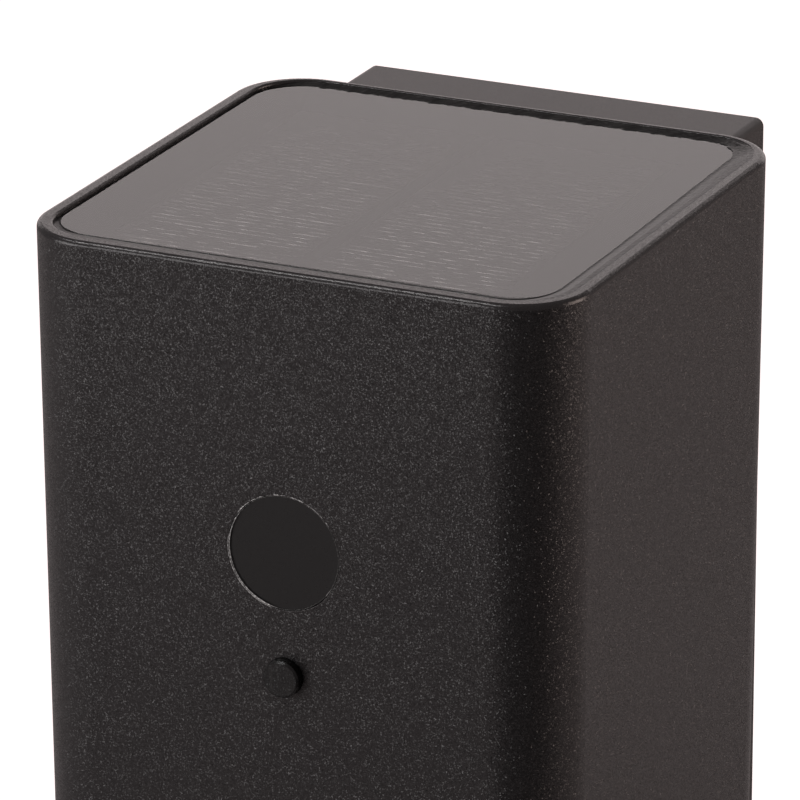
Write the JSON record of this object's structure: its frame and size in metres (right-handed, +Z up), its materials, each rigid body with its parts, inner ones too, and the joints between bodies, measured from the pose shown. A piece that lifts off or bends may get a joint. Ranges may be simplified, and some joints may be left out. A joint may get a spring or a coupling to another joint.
{
  "type": "solar wall light",
  "caption": "Box-shaped solar wall and fence light with a top solar panel, front motion sensor, push button, downward opal light and a rear wall canopy.",
  "frame": {"origin": "middle of the wall strap's back face, on the wall plane", "axes": "+Z up, +Y into the wall (the light stands out towards -Y), +X to the right seen from the front"},
  "size_m": [0.1, 0.118, 0.18],
  "materials": {
    "black_powder_coat": "fine-textured black powder coat on die-cast aluminium",
    "panel_backing": "dark laminate",
    "solar_cell": "dark monocrystalline silicon with fine printed fingers",
    "panel_clear": "clear satin laminate",
    "sealant": "black silicone",
    "black_rubber": "matt rubber",
    "sensor_black": "smooth black infrared-clear plastic",
    "black_plastic": "satin moulded plastic",
    "button_black": "matt moulded plastic",
    "silicone": "translucent grey silicone",
    "board_green": "solder mask",
    "component_black": "moulded component body",
    "connector_white": "natural nylon",
    "sensor_can": "plated can",
    "zinc_steel": "zinc plate",
    "stainless": "bright stainless",
    "cell_wrap": "shrink sleeve on a steel can",
    "lead_jacket": "black PVC jacket",
    "reflector_white": "white moulding",
    "led_board_white": "white solder mask on metal core",
    "led_yellow": "phosphor",
    "opal": "opal diffuser"
  },
  "bodies": {
    "lamp": {"battery_cell_left": "cell_wrap", "battery_cell_right": "cell_wrap", "battery_contacts": "zinc_steel", "battery_cradle": "black_plastic", "battery_lead": "lead_jacket", "bezel_screws": "stainless", "board_screws": "zinc_steel", "bottom_bezel": "black_powder_coat", "bottom_gasket": "black_rubber", "button_seal": "silicone", "canopy_screws": "zinc_steel", "capacitor": "component_black", "charge_chip": "component_black", "control_board": "board_green", "cradle_screws": "zinc_steel", "diffuser": "opal", "diffuser_gasket": "black_rubber", "housing": "black_powder_coat", "inductor": "component_black", "lead_grommet": "black_rubber", "lead_plugs": "connector_white", "lead_sockets": "connector_white", "led_board": "led_board_white", "led_chips": "led_yellow", "led_lead": "lead_jacket", "led_screws": "zinc_steel", "lock_screw": "stainless", "panel_cover": "panel_clear", "panel_lead": "lead_jacket", "panel_sealant": "sealant", "pir_sensor": "sensor_can", "reflector": "reflector_white", "reflector_screws": "zinc_steel", "sensor_gasket": "black_rubber", "sensor_shroud": "black_plastic", "sensor_window": "sensor_black", "solar_cells": "solar_cell", "solar_panel": "panel_backing", "tact_switch": "black_plastic", "wall_canopy": "black_powder_coat", "wall_strap": "zinc_steel"},
    "button": {"mode_button": "button_black", "switch_plunger": "button_black"}
  },
  "joints": [
    {"name": "button_press", "type": "slide", "parent": "lamp", "child": "button", "axis": [0, 1, 0], "range_m": [0, 0.0008], "stiffness_N_per_m": 2500, "springref_m": -0.0002, "deforming": ["button_seal"]}
  ]
}
